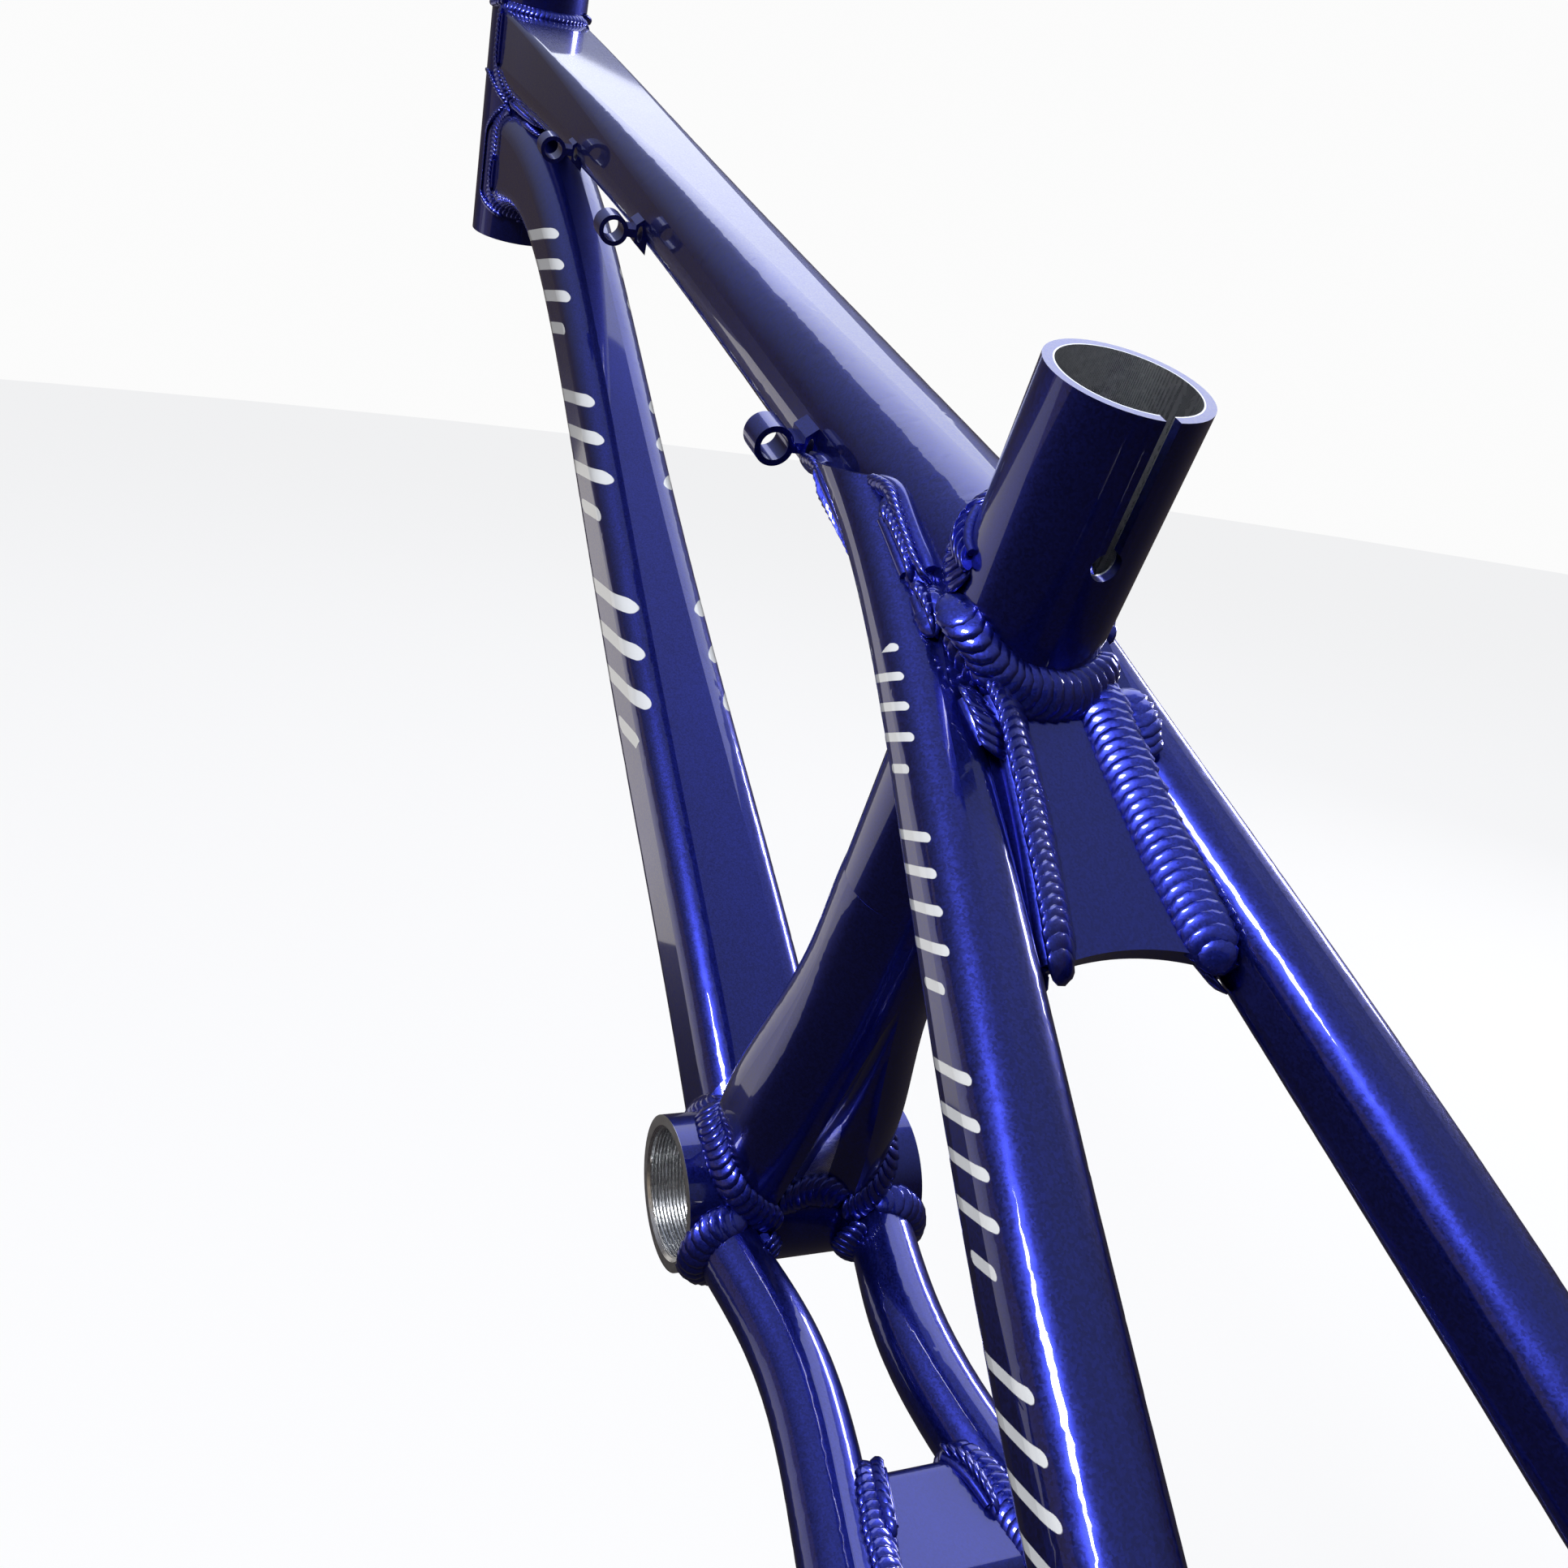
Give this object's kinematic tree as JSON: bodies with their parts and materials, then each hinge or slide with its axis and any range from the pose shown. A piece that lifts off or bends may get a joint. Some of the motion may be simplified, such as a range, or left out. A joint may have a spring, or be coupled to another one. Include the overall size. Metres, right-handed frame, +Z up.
{
  "type": "bicycle frame",
  "caption": "Welded aluminium race bicycle frame with a flared down tube, seatstay plate, threaded bottom bracket shell, cable guides and rear-facing dropouts.",
  "frame": {"origin": "centre of the bottom bracket shell", "axes": "+X forward to the head tube, +Y along the shell to the rider's left, +Z up"},
  "size_m": [0.9176, 0.1334, 0.4398],
  "materials": {
    "frame_paint": "deep metallic blue-violet gloss under clear coat, bare machined ends",
    "painted_weld": "rippled weld beads under the same paint",
    "painted_fitting": "extruded fittings under the same gloss paint",
    "machined_alloy": "bare turned alloy: the brake studs and the shell's cut thread"
  },
  "bodies": {
    "root": {"bottom_bracket_shell": "frame_paint", "brake_boss_left": "machined_alloy", "brake_boss_right": "machined_alloy", "cable_guide_front": "painted_fitting", "cable_guide_middle": "painted_fitting", "cable_guide_rear": "painted_fitting", "chainstay_bridge": "frame_paint", "chainstay_left": "frame_paint", "chainstay_right": "frame_paint", "down_tube": "frame_paint", "dropout_left": "frame_paint", "dropout_right": "frame_paint", "head_tube": "frame_paint", "seat_tube": "frame_paint", "seatstay_left": "frame_paint", "seatstay_plate": "frame_paint", "seatstay_right": "frame_paint", "top_tube": "frame_paint", "weld_bridge_chainstay_left": "painted_weld", "weld_bridge_chainstay_right": "painted_weld", "weld_chainstay_dropout_left": "painted_weld", "weld_chainstay_dropout_right": "painted_weld", "weld_chainstay_shell_left": "painted_weld", "weld_chainstay_shell_right": "painted_weld", "weld_down_seat": "painted_weld", "weld_down_shell": "painted_weld", "weld_down_top": "painted_weld", "weld_head_down": "painted_weld", "weld_head_top": "painted_weld", "weld_plate_seat": "painted_weld", "weld_plate_seatstay_left": "painted_weld", "weld_plate_seatstay_right": "painted_weld", "weld_seat_shell": "painted_weld", "weld_seatstay_dropout_left": "painted_weld", "weld_seatstay_dropout_right": "painted_weld", "weld_seatstay_seat_left": "painted_weld", "weld_seatstay_seat_right": "painted_weld", "weld_seatstay_top_left": "painted_weld", "weld_seatstay_top_right": "painted_weld", "weld_top_seat": "painted_weld"}
  },
  "joints": []
}
